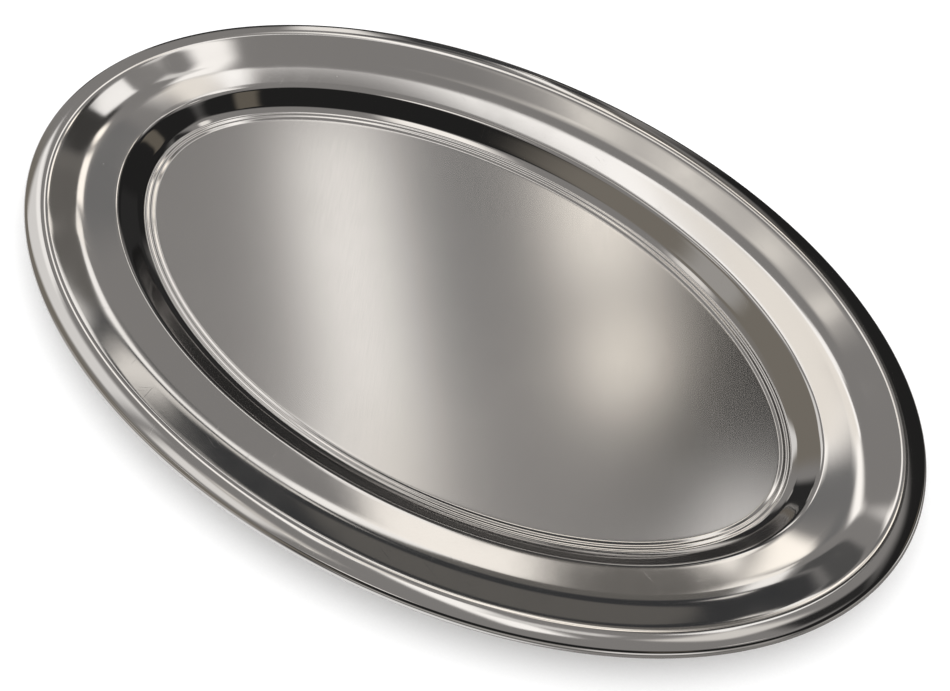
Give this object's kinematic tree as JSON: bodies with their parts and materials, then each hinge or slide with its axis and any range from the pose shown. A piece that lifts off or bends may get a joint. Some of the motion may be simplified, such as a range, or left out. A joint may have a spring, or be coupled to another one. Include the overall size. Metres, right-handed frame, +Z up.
{
  "type": "oval serving tray",
  "caption": "Oval polished steel serving tray with a flat satin well, a broad sloping flange and a rolled, wired rim.",
  "frame": {"origin": "centre of the flat underside, on the plane the tray stands on", "axes": "+X along the length, +Y across the width, +Z up"},
  "size_m": [0.45, 0.3024, 0.0184],
  "materials": {
    "polished_steel": "mirror-polished stainless steel, with a satin well",
    "plain_wire": "drawn steel wire"
  },
  "bodies": {
    "root": {"tray_sheet": "polished_steel", "rim_wire": "plain_wire"}
  },
  "joints": []
}
